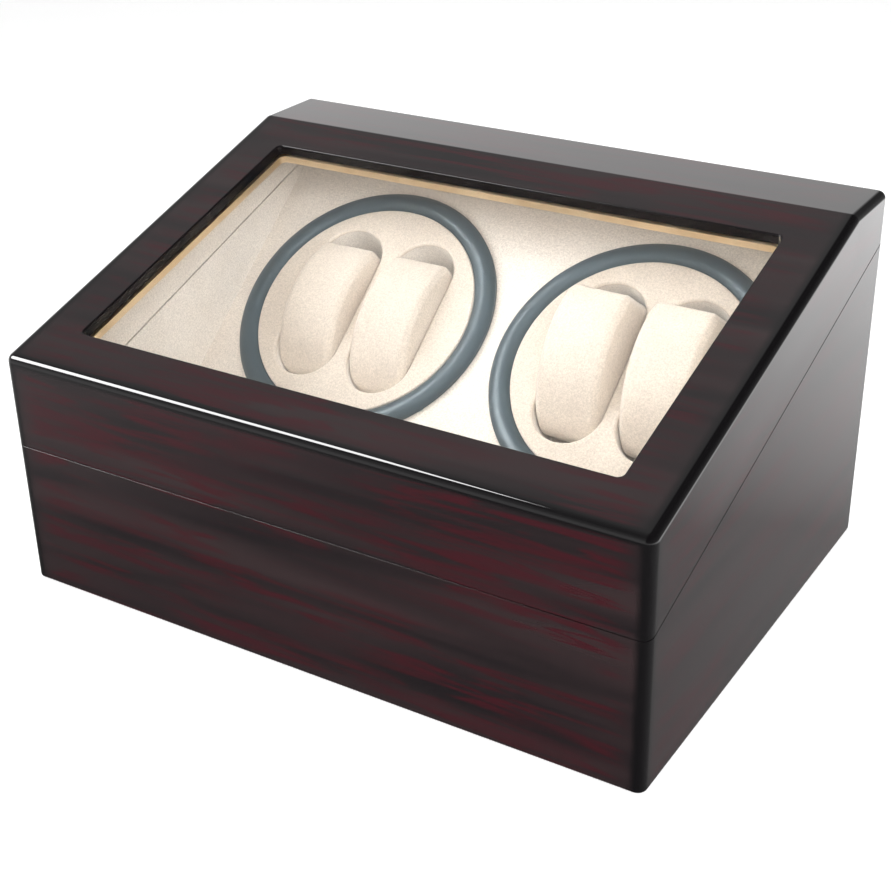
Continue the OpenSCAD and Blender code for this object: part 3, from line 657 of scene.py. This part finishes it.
def rim_rows(bm, stations, side):
    """Rounded rim at the lid joint. side is 1 on the lid and -1 on the case.

    Returns the loops from the rim out to the wall, the inner loop and the rim's faces."""
    rows = []
    for t in arc(0, 90, RIM_STEPS):
        points = []
        for c, w, _ in stations:
            p = c + w * (EDGE_R - RIM_R * (1 - math.sin(t)))
            z = seam_z(p.y) + side * (SEAM_GAP / 2 + RIM_R * (1 - math.cos(t)))
            points.append((p.x, p.y, z))
        rows.append(add_loop(bm, points))
    for low, high in zip(rows, rows[1:]):
        bridge(bm, low, high)
    corners = [(IN_X, IN_FRONT), (IN_X, IN_BACK), (-IN_X, IN_BACK), (-IN_X, IN_FRONT)]
    inner = add_loop(bm, [(x, y, seam_z(y) + side * SEAM_GAP / 2) for x, y in corners])
    faces = fill(bm, [rows[0], inner], (0, -math.sin(SEAM), math.cos(SEAM)))
    return rows, inner, faces


def window_loop(bm, grow, h, radius):
    """Loop round the window, wider by grow on each side, at height h off the slope."""
    flat = rounded_rect(-WIN_HALF - grow, WIN_HALF + grow, WIN_V0 - grow, WIN_V1 + grow, radius)
    return add_loop(bm, [on_slope(x, v, h) for x, v in flat])


def build_lid():
    bm = bmesh.new()
    stations = outline(True)
    rows, rim, rim_faces = rim_rows(bm, stations, 1)
    for i in range(FILLET_STEPS + 1):
        points = []
        for c, w, top in stations:
            slope_top = slope_z(c.y) - EDGE_R / math.cos(SLOPE)
            base = Vector((c.x, c.y, min(slope_top, TOP_Z - EDGE_R)))
            points.append(base + between(w, top, i / FILLET_STEPS) * EDGE_R)
        rows.append(add_loop(bm, points))
    for low, high in zip(rows[RIM_STEPS:], rows[RIM_STEPS + 1:]):
        bridge(bm, low, high)
    # The top loop runs: front right corner, right ridge, back corners, left ridge, front left
    top = rows[-1]
    n, r = CORNER_STEPS + 1, RIDGE_STEPS + 1
    right, left = top[n:n + r], top[3 * n + r:3 * n + 2 * r]
    left.reverse()
    for i in range(RIDGE_STEPS):
        bm.faces.new((right[i], right[i + 1], left[i + 1], left[i]))
    bm.faces.new(top[n + r - 1:3 * n + r + 1])
    front = top[3 * n + 2 * r - 1:] + top[:n + 1]
    brim = []
    for t in arc(0, 90, BRIM_STEPS):
        grow = BRIM_R * (1 - math.sin(t))
        brim.append(window_loop(bm, grow, -BRIM_R * (1 - math.cos(t)), WIN_R + grow))
    fill(bm, [front, brim[0]], SLOPE_N)
    sill = window_loop(bm, 0, -PANE_DEPTH, WIN_R)
    step = window_loop(bm, REBATE, -PANE_DEPTH, WIN_R)
    under = window_loop(bm, REBATE, -LID_T, WIN_R)
    chain = brim + [sill, step, under]
    opening = []
    for low, high in zip(chain, chain[1:]):
        opening += bridge(bm, low, high)
    # Inner faces of the lid
    deep = LID_T / math.cos(SLOPE)
    fold_y = RIDGE_Y + LID_T * math.tan(SLOPE / 2)
    z_front, z_top = slope_z(IN_FRONT) - deep, TOP_Z - LID_T
    ceiling = add_loop(bm, [(IN_X, IN_FRONT, z_front), (IN_X, fold_y, z_top),
                            (-IN_X, fold_y, z_top), (-IN_X, IN_FRONT, z_front)])
    back = add_loop(bm, [(IN_X, IN_BACK, z_top), (-IN_X, IN_BACK, z_top)])
    fill(bm, [ceiling, under], SLOPE_N)
    bm.faces.new((ceiling[1], back[0], back[1], ceiling[2]))
    bm.faces.new((rim[0], rim[1], back[0], ceiling[1], ceiling[0]))
    bm.faces.new((rim[1], rim[2], back[1], back[0]))
    bm.faces.new((rim[2], rim[3], ceiling[3], ceiling[2], back[1]))
    bm.faces.new((rim[3], rim[0], ceiling[0], ceiling[3]))
    bmesh.ops.recalc_face_normals(bm, faces=bm.faces)
    side_grain(bm)
    for face in opening:
        face.material_index = 2
    # The rim faces in the joint take the dull black of painted shade
    for face in rim_faces:
        face.material_index = 3
    piece("lid_lacquer", bm, [LACQUER_X, LACQUER_Y, LACQUER_PLAIN, JOINT_RIM_SHADE],
          "lid", "lid_shell")


def build_case():
    bm = bmesh.new()
    stations = outline(False)
    low_z = CASE_LOW.z
    feet = []
    for t in arc(0, 90, RIM_STEPS):
        points = []
        for c, w, _ in stations:
            p = c + w * (EDGE_R - FOOT_R * (1 - math.sin(t)))
            points.append((p.x, p.y, low_z + FOOT_R * (1 - math.cos(t))))
        feet.append(add_loop(bm, points))
    for low, high in zip(feet, feet[1:]):
        bridge(bm, low, high)
    rows, rim, rim_faces = rim_rows(bm, stations, -1)
    # The step between the two back corners is the back wall, which holds the recess
    a = 2 * (CORNER_STEPS + 1) - 1
    b = a + 1
    bridge(bm, feet[-1], rows[-1], skip=(a,))
    floor = add_loop(bm, [(v.co.x, v.co.y, low_z) for v in rim])
    fill(bm, [feet[0], floor], (0, 0, 1))
    bridge(bm, floor, rim, skip=(1,))
    # The back wall and the opening for the controls
    plate_low, plate_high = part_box("control_plate")
    half = plate_high.x + PLATE_GAP
    z0, z1 = plate_low.z - PLATE_GAP, plate_high.z + PLATE_GAP
    hole = rounded_rect(-half, half, z0, z1, RECESS_R, 3)
    wide = rounded_rect(-half - RECESS_LIP, half + RECESS_LIP, z0 - RECESS_LIP, z1 + RECESS_LIP,
                        RECESS_R + RECESS_LIP, 3)
    lip = add_loop(bm, [(x, BACK_Y, z) for x, z in wide])
    outer = add_loop(bm, [(x, BACK_Y - RECESS_LIP, z) for x, z in hole])
    inner = add_loop(bm, [(x, IN_BACK, z) for x, z in hole])
    bridge(bm, lip, outer)
    bridge(bm, outer, inner)
    fill(bm, [[feet[-1][a], feet[-1][b], rows[-1][b], rows[-1][a]], lip], (0, 1, 0))
    fill(bm, [[floor[1], floor[2], rim[2], rim[1]], inner], (0, 1, 0))
    bmesh.ops.recalc_face_normals(bm, faces=bm.faces)
    side_grain(bm)
    # The rim faces in the joint take the dull black of painted shade
    for face in rim_faces:
        face.material_index = 2
    piece("case_lacquer", bm, [LACQUER_X, LACQUER_Y, JOINT_RIM_SHADE],
          "case", "case_walls")


build_lid()
build_case()

# ---------------------------------------------------------------- turntable discs

# Heights are off the deck, in the turntable frame
DISC_TOP = 4 * MM
FLANGE_TOP = 2.05 * MM
DISC_R = 61.2 * MM
DISC_EDGE_R = 0.8 * MM
DISC_SEGMENTS = 128
POCKET_X = 22.5 * MM
POCKET_HALF_W = 18.5 * MM
POCKET_HALF_L = 45 * MM
POCKET_LIP = 1.6 * MM
POCKET_FLOOR = -29.7 * MM


def obround(x, half_w, half_l):
    """Points round a slot with round ends, centred at x."""
    points = []
    for sign, start in ((1, 0), (-1, 180)):
        for t in arc(start, start + 180, 20):
            points.append((x + half_w * math.cos(t),
                           sign * (half_l - half_w) + half_w * math.sin(t)))
    return points


def build_disc(side):
    bm = bmesh.new()

    def round_loop(radius, z):
        return add_loop(bm, [(radius * math.cos(t), radius * math.sin(t), z)
                             for t in arc(0, 360, DISC_SEGMENTS)[:-1]])

    rims = [round_loop(DISC_R, FLANGE_TOP)]
    for t in arc(0, 90, 3):
        rims.append(round_loop(DISC_R - DISC_EDGE_R * (1 - math.cos(t)),
                               DISC_TOP - DISC_EDGE_R * (1 - math.sin(t))))
    for low, high in zip(rims, rims[1:]):
        bridge(bm, low, high)
    lips, feet = [], []
    for x in (-POCKET_X, POCKET_X):
        chain = []
        for t in arc(0, 90, 5):
            grow = POCKET_LIP * (1 - math.sin(t))
            z = DISC_TOP - POCKET_LIP * (1 - math.cos(t))
            chain.append(add_loop(bm, [(px, py, z) for px, py in obround(
                x, POCKET_HALF_W + grow, POCKET_HALF_L + grow)]))
        chain.append(add_loop(bm, [(px, py, FLANGE_TOP) for px, py in obround(
            x, POCKET_HALF_W, POCKET_HALF_L)]))
        for low, high in zip(chain, chain[1:]):
            bridge(bm, low, high)
        lips.append(chain[0])
        feet.append(chain[-1])
    fill(bm, [rims[-1]] + lips, (0, 0, 1))
    fill(bm, [rims[0]] + feet, (0, 0, 1))
    bmesh.ops.transform(bm, matrix=table_matrix(side), verts=bm.verts)
    piece(f"velvet_disc_{side}", bm, [DISC_VELVET],
          f"turntable_{side}", f"disc_{side}")


for table_side in ("left", "right"):
    build_disc(table_side)

# ---------------------------------------------------------------- cushions

PAD_R = 4 * MM  # edges of a turntable pad
STORE_R = 5 * MM  # edges of a storage pad
PAD_EDGE_STEPS = 4
PANEL_SCALES = (0.86, 0.70, 0.54, 0.38, 0.22)  # rings of a side panel, from its edge inwards
CLOTH_PRESSURE = 4
CLOTH_FRAMES = 20


def profile(crown_r, crown_z, low, high, depth, radii, step):
    """Side view of a pad as evenly spaced points, from -low to high over a flat foot.

    The crown is an arc of crown_r about (0, crown_z). radii are those of the low end,
    the high end and the foot."""
    low_r, high_r, foot_r = radii
    high_edge = math.acos(min((high - high_r) / (crown_r - high_r), 1))
    low_edge = math.pi - math.acos(min((low - low_r) / (crown_r - low_r), 1))
    points = []
    for i in range(360):
        t = math.radians(i)
        d = Vector((math.cos(t), math.sin(t)))
        if t <= high_edge:
            top = crown_z + (crown_r - high_r) * math.sin(high_edge)
            points.append(Vector((high - high_r, top)) + d * high_r)
        elif t < low_edge:
            points.append(Vector((0, crown_z)) + d * crown_r)
        elif i <= 180:
            top = crown_z + (crown_r - low_r) * math.sin(low_edge)
            points.append(Vector((low_r - low, top)) + d * low_r)
        else:
            end = high - foot_r if d.x >= 0 else foot_r - low
            points.append(Vector((end, foot_r - depth)) + d * foot_r)
    lengths = [0.0]
    for p, q in zip(points, points[1:] + points[:1]):
        lengths.append(lengths[-1] + (q - p).length)
    count = round(lengths[-1] / step)
    ring = points + points[:1]
    result, k = [], 0
    for i in range(count):
        at = lengths[-1] * i / count
        while lengths[k + 1] < at:
            k += 1
        share = (at - lengths[k]) / (lengths[k + 1] - lengths[k])
        result.append(ring[k].lerp(ring[k + 1], share))
    return result


def normals_of(points):
    """Outward directions of a closed counter-clockwise outline."""
    count = len(points)
    result = []
    for i in range(count):
        along = points[(i + 1) % count] - points[i - 1]
        result.append(Vector((along.y, -along.x)).normalized())
    return result


def pad_mesh(shape, half_w, radius, step):
    """Closed pad: the side view swept across, with rounded edges and domed side panels.

    Returns the mesh and the loops that lie on the two sewn edges."""
    bm = bmesh.new()
    normals = normals_of(shape)
    middle = Vector((0, 0))
    for p in shape:
        middle += p / len(shape)

    def loop(x, inset, scale=1.0):
        points = []
        for p, n in zip(shape, normals):
            q = middle + (p - n * inset - middle) * scale
            points.append((x, q.x, q.y))
        return add_loop(bm, points)

    count = max(2, round(2 * (half_w - radius) / step))
    inside = [(-1 + 2 * i / count) * (half_w - radius) for i in range(count + 1)]
    bend = [(half_w - radius + radius * math.sin(t), radius * (1 - math.cos(t)))
            for t in arc(0, 90, PAD_EDGE_STEPS)[1:]]
    loops = [loop(-half_w, radius, s) for s in reversed(PANEL_SCALES)]
    loops += [loop(-x, inset) for x, inset in reversed(bend)]
    seam_low = len(loops) - 2
    loops += [loop(x, 0) for x in inside]
    seam_high = len(loops) + 1
    loops += [loop(x, inset) for x, inset in bend]
    loops += [loop(half_w, radius, s) for s in PANEL_SCALES]
    for low, high in zip(loops, loops[1:]):
        bridge(bm, low, high)
    for ring, x in ((loops[0], -half_w), (loops[-1], half_w)):
        hub = bm.verts.new((x, middle.x, middle.y))
        for a, b in zip(ring, ring[1:] + ring[:1]):
            bm.faces.new((a, b, hub))
    bm.verts.index_update()
    sewn = {v.index for i in (seam_low, seam_high) for v in loops[i]}
    bmesh.ops.recalc_face_normals(bm, faces=bm.faces)
    mesh = bpy.data.meshes.new("pad")
    bm.to_mesh(mesh)
    bm.free()
    return mesh, sewn


def fill_pad(mesh, sewn, cap, fold):
    """Swells the pad as cloth over its filling, then draws the sewn edges in.

    No point moves further out than cap, and the sewn edges are drawn in by fold."""
    start = [v.co.copy() for v in mesh.vertices]
    normals = [v.normal.copy() for v in mesh.vertices]
    pad = bpy.data.objects.new("pad", mesh)
    SCENE.collection.objects.link(pad)
    cloth = pad.modifiers.new("cloth", "CLOTH")
    cloth.settings.quality = 5
    cloth.settings.use_pressure = True
    cloth.settings.uniform_pressure_force = CLOTH_PRESSURE
    cloth.settings.effector_weights.gravity = 0
    for frame_number in range(1, CLOTH_FRAMES + 1):
        SCENE.frame_set(frame_number)
    soft = pad.evaluated_get(bpy.context.evaluated_depsgraph_get())
    swollen = [v.co.copy() for v in soft.data.vertices]
    bpy.data.objects.remove(pad)
    SCENE.frame_set(1)
    for vertex, old, new in zip(mesh.vertices, start, swollen):
        move = new - old
        if move.length > cap:
            move *= cap / move.length
        vertex.co = old + move
    for index in sewn:
        mesh.vertices[index].co -= normals[index] * fold


def place_pad(name, mesh, matrix, cushion, limit=None):
    """A pad in its seat, for the CAD cushion whose node and body share one name.

    limit moves each point of the placed pad clear of the seat's walls."""
    own = mesh.copy()
    own.name = name
    own.transform(matrix)
    if limit:
        for vertex in own.vertices:
            vertex.co = limit(vertex.co)
    own.materials.append(PAD_VELVET)
    for polygon in own.polygons:
        polygon.use_smooth = True
    pad = bpy.data.objects.new(name, own)
    SCENE.collection.objects.link(pad)
    subdivide = pad.modifiers.new("smooth", "SUBSURF")
    subdivide.levels = subdivide.render_levels = 1
    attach(pad, cushion)
    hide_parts(cushion)


# Room inside a pocket: an obround of this radius about a spine of this half length
SEAT_R = 18.1 * MM
SEAT_HALF = 26.5 * MM
LEAN = {"left": math.radians(3.4), "right": math.radians(17.8)}
PAD_HALF_W = 17.1 * MM
PAD_HALF_L = 32.5 * MM
PAD_LOW_L = 41.5 * MM  # the lower end reaches further, to fill its end of the pocket
PAD_LOW_R = 13 * MM
PAD_CROWN_R = 50 * MM
PAD_END_H = 38 * MM  # the crown's centre lies this far below the disc
PAD_DEPTH = 32 * MM
PAD_CAP = 0.7 * MM
PAD_FOLD = 0.55 * MM
STORE_GAP = 0.6 * MM  # room kept free for the swelling, and the most it may be


def seat_limit(side, x):
    """Function that moves a point below the disc's top to inside the pocket at x."""
    table = table_matrix(side)
    back = table.inverted()

    def limit(co):
        p = back @ co
        p.z = max(p.z, POCKET_FLOOR)
        if p.z < DISC_TOP + 0.3 * MM:
            spine = max(-SEAT_HALF, min(SEAT_HALF, p.y))
            out = Vector((p.x - x, p.y - spine))
            if out.length > SEAT_R:
                out *= SEAT_R / out.length
                p.x, p.y = x + out.x, spine + out.y
        return table @ p

    return limit


def build_table_pads():
    radii = (PAD_LOW_R, PAD_R, PAD_R)
    shape = profile(PAD_CROWN_R, -PAD_END_H, PAD_LOW_L, PAD_HALF_L, PAD_DEPTH, radii, 2.2 * MM)
    mesh, sewn = pad_mesh(shape, PAD_HALF_W, PAD_R, 2.8 * MM)
    fill_pad(mesh, sewn, PAD_CAP, PAD_FOLD)
    for side, lean in LEAN.items():
        turn = Matrix.Translation((0, -PAD_HALF_L, DISC_TOP)) @ Matrix.Rotation(lean, 4, "X")
        turn = turn @ Matrix.Translation((0, PAD_HALF_L, 0))
        for seat, x in (("a", -POCKET_X), ("b", POCKET_X)):
            matrix = table_matrix(side) @ Matrix.Translation((x, 0, 0)) @ turn
            place_pad(f"pad_{side}_{seat}", mesh, matrix, f"cushion_{side}_{seat}",
                      seat_limit(side, x))


def build_store_pads():
    low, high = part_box("store_cushion_1")
    half_l = (high.y - low.y) / 2 - STORE_GAP
    half_w = (high.x - low.x) / 2 - STORE_GAP
    crown_z = high.z - low.z - half_l - STORE_GAP
    # The crown is a hair wider than the pad, so that it meets the ends
    shape = profile(half_l + 0.01 * MM, crown_z, half_l, half_l, 0, (STORE_R,) * 3, 2.8 * MM)
    mesh, sewn = pad_mesh(shape, half_w, STORE_R, 3.2 * MM)
    fill_pad(mesh, sewn, STORE_GAP, STORE_GAP)
    for i in range(1, 7):
        name = f"store_cushion_{i}"
        low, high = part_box(name)
        place = ((low.x + high.x) / 2, (low.y + high.y) / 2, low.z + 0.1 * MM)
        place_pad(f"store_pad_{i}", mesh, Matrix.Translation(place), name)


build_table_pads()
build_store_pads()

# ---------------------------------------------------------------- studio

# Radiance round the object by height of the direction (sine), then by how far behind it lies
SKY_BY_HEIGHT = [(-1.0, 0.12), (-0.66, 0.2), (-0.5, 0.42), (-0.40, 1.4), (-0.30, 2.6), (0.0, 2.6),
                 (0.30, 1.15), (0.45, 1.0), (0.62, 0.45), (1.0, 0.5)]
SKY_BY_DEPTH = [(-1.0, 0.3), (-0.5, 0.4), (0.1, 0.8), (0.4, 1.0), (1.0, 1.0)]
SKY_DEPTH_AXIS = (0.25, 0.97, 0)
SKY_MOST = 4.0
FLOOR_HALF = 6.0
OBJECT_MIDDLE = Vector((0, 0, 0.1))
# A dark flag to the right and above the horizon: the share of light that it lets through, by
# height and by sideways direction, of which the larger counts
FLAG_BY_HEIGHT = [(-1.0, 1.0), (-0.24, 1.0), (-0.10, 0.0), (1.0, 0.0)]
FLAG_BY_SIDE = [(-1.0, 1.0), (-0.24, 1.0), (-0.02, 0.12), (1.0, 0.12)]


def make_world():
    """A soft cyclorama: bright low down behind the object, darker overhead and in front."""
    world = bpy.data.worlds.new("studio")
    SCENE.world = world
    world.use_nodes = True
    tree = world.node_tree
    tree.nodes.clear()
    out = tree.nodes.new("ShaderNodeOutputWorld")
    back = tree.nodes.new("ShaderNodeBackground")
    coords = tree.nodes.new("ShaderNodeTexCoord")
    split = tree.nodes.new("ShaderNodeSeparateXYZ")
    depth = tree.nodes.new("ShaderNodeVectorMath")
    depth.operation = "DOT_PRODUCT"
    depth.inputs[1].default_value = SKY_DEPTH_AXIS
    tree.links.new(coords.outputs["Generated"], split.inputs[0])
    tree.links.new(coords.outputs["Generated"], depth.inputs[0])

    def curve(source, stops):
        """Value by a source from -1 to 1, straight between the stops."""
        ease = tree.nodes.new("ShaderNodeMapRange")
        ease.inputs["From Min"].default_value = -1.0
        tree.links.new(source, ease.inputs["Value"])
        node = tree.nodes.new("ShaderNodeFloatCurve")
        points = node.mapping.curves[0].points
        node.mapping.clip_max_y = SKY_MOST
        while len(points) < len(stops):
            points.new(0.5, 0.5)
        for point, (at, value) in zip(points, stops):
            point.location = ((at + 1) / 2, value)
            point.handle_type = "VECTOR"
        node.mapping.update()
        tree.links.new(ease.outputs["Result"], node.inputs["Value"])
        return node.outputs[0]

    def combine(operation, a, b):
        node = tree.nodes.new("ShaderNodeMath")
        node.operation = operation
        tree.links.new(a, node.inputs[0])
        tree.links.new(b, node.inputs[1])
        return node.outputs[0]

    sky = combine("MULTIPLY", curve(split.outputs["Z"], SKY_BY_HEIGHT),
                  curve(depth.outputs["Value"], SKY_BY_DEPTH))
    flag = combine("MAXIMUM", curve(split.outputs["Z"], FLAG_BY_HEIGHT),
                   curve(split.outputs["X"], FLAG_BY_SIDE))
    tree.links.new(combine("MULTIPLY", sky, flag), back.inputs["Strength"])
    tree.links.new(back.outputs[0], out.inputs["Surface"])


def soft_light(name, place, size, power, mirrored=False):
    """A softbox aimed at the object, its size in metres and its power in watts.

    A mirrored one is only seen in reflections, and the others only shed light."""
    data = bpy.data.lights.new(name, "AREA")
    data.shape = "RECTANGLE"
    data.size, data.size_y = size
    data.energy = power
    lamp = bpy.data.objects.new(name, data)
    lamp.location = place
    aim = OBJECT_MIDDLE - Vector(place)
    lamp.rotation_euler = aim.to_track_quat("-Z", "Y").to_euler()
    lamp.visible_glossy = mirrored
    lamp.visible_diffuse = not mirrored
    lamp.visible_camera = False
    SCENE.collection.objects.link(lamp)


def make_floor():
    """A plain pale floor, which the lacquer doesn't mirror."""
    half = FLOOR_HALF
    mesh = bpy.data.meshes.new("floor")
    corners = [(-half, -half, 0), (half, -half, 0), (half, half, 0), (-half, half, 0)]
    mesh.from_pydata(corners, [], [(0, 1, 2, 3)])
    mesh.materials.append(FLOOR)
    floor = bpy.data.objects.new("floor", mesh)
    floor.visible_glossy = False
    SCENE.collection.objects.link(floor)


def make_studio():
    SCENE.view_settings.view_transform = "Standard"
    make_world()
    make_floor()
    soft_light("overhead", (0.20, -0.45, 1.7), (1.5, 1.5), 14)
    soft_light("front", (0.65, -1.45, 1.15), (1.4, 1.0), 25)
    soft_light("right", (1.30, -0.35, 0.95), (1.0, 0.8), 6)
    soft_light("glint", (-1.0, -0.60, 1.15), (0.5, 1.1), 30, mirrored=True)


make_studio()
